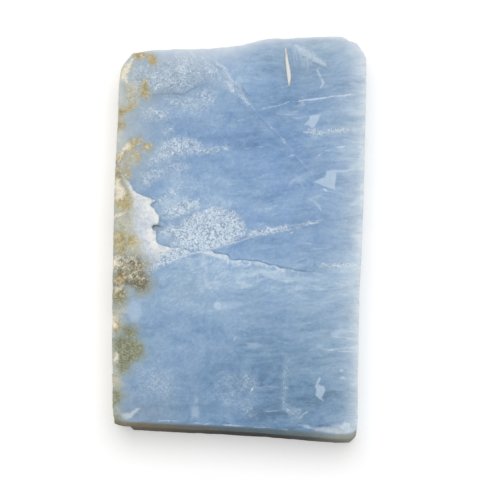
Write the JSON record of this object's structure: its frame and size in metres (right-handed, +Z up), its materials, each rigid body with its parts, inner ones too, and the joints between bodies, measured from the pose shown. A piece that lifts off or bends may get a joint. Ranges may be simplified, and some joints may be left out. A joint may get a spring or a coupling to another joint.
{
  "type": "blue opal slab",
  "caption": "Sawn slab of rough blue opal with a shallow flake ledge across its face, chipped edges and a natural crust along one long side. It lies on its flat sawn back.",
  "frame": {"origin": "middle of the slab's footprint, on the surface that its sawn back rests on", "axes": "+X across the slab from its crust side to its clean side, +Y along its length, +Z up out of the broken face"},
  "size_m": [0.05, 0.0804, 0.008],
  "materials": {
    "blue_opal": "waxy, slightly frosted pale steel-blue opal with white healed cracks, sugary patches and an olive and ochre crust on one side"
  },
  "bodies": {
    "root": {"opal_slab": "blue_opal"}
  },
  "joints": []
}
